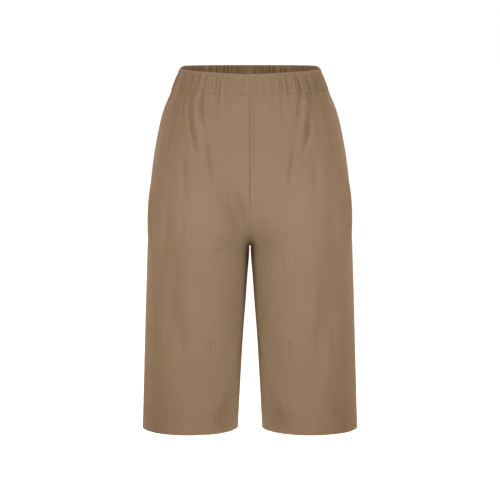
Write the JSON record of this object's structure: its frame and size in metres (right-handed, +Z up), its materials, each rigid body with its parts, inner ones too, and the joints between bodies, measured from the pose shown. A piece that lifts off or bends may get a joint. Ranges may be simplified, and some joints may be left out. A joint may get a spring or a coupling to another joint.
{
  "type": "knee-length shorts",
  "caption": "Knee-length pull-on linen shorts with a gathered elastic waistband, filled out and hollow, open at the waist and hems.",
  "frame": {"origin": "centre of the waist opening, halfway up the waistband, where the wearer holds the shorts up", "axes": "+Z up along the wearer, out of the waist opening; the front faces -Y; +X is the wearer's left; the thin way from front to back is Y"},
  "size_m": [0.394, 0.2511, 0.664],
  "materials": {
    "linen_panels": "plain-weave linen, matt, washed soft, camel brown",
    "linen_waistband": "the same plain-weave linen gathered over elastic, matt, camel brown"
  },
  "bodies": {
    "root": {"front_left": "linen_panels", "front_right": "linen_panels", "back_left": "linen_panels", "back_right": "linen_panels", "waistband_front": "linen_waistband", "waistband_back": "linen_waistband"}
  },
  "joints": []
}
